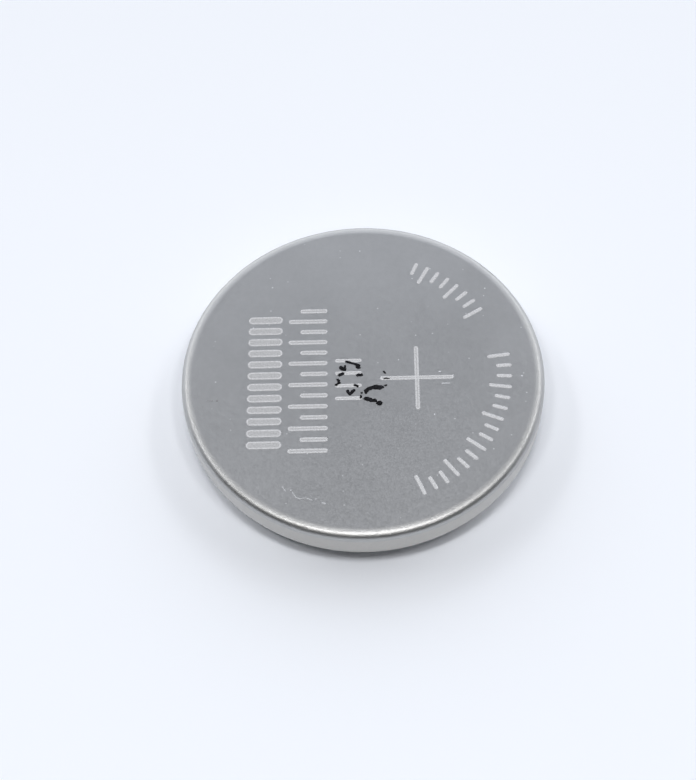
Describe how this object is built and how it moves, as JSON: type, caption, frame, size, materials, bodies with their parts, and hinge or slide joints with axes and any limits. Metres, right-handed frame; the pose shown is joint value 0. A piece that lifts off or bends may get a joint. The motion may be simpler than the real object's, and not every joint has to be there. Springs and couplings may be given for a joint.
{
  "type": "lithium coin cell",
  "caption": "Flat round rechargeable lithium cell: a crimped steel can and cap, the sealing gasket between them, and the electrode stack inside.",
  "frame": {"origin": "centre of the negative cap's flat contact face, the lowest face of the cell", "axes": "+Z along the cell's axis, from the negative contact to the positive face; the cell is round, and +Y is the direction that the straight marks on the positive face run in"},
  "size_m": [0.02, 0.02, 0.0032],
  "materials": {
    "can_steel": "nickel-plated stainless sheet, fine matte rolled finish, bright rubbed edges",
    "gasket_plastic": "moulded polypropylene",
    "cap_steel": "stainless sheet, fine matte rolled finish",
    "ring_steel": "bright stainless strip",
    "cathode_mix": "pressed black powder tablet, matte",
    "separator_fleece": "non-woven polypropylene, soft white",
    "anode_alloy": "dull lithium-aluminium alloy"
  },
  "bodies": {
    "root": {"positive_can": "can_steel", "sealing_gasket": "gasket_plastic", "negative_cap": "cap_steel", "cathode_ring": "ring_steel", "cathode_pellet": "cathode_mix", "separator": "separator_fleece", "anode_disc": "anode_alloy"}
  },
  "joints": []
}
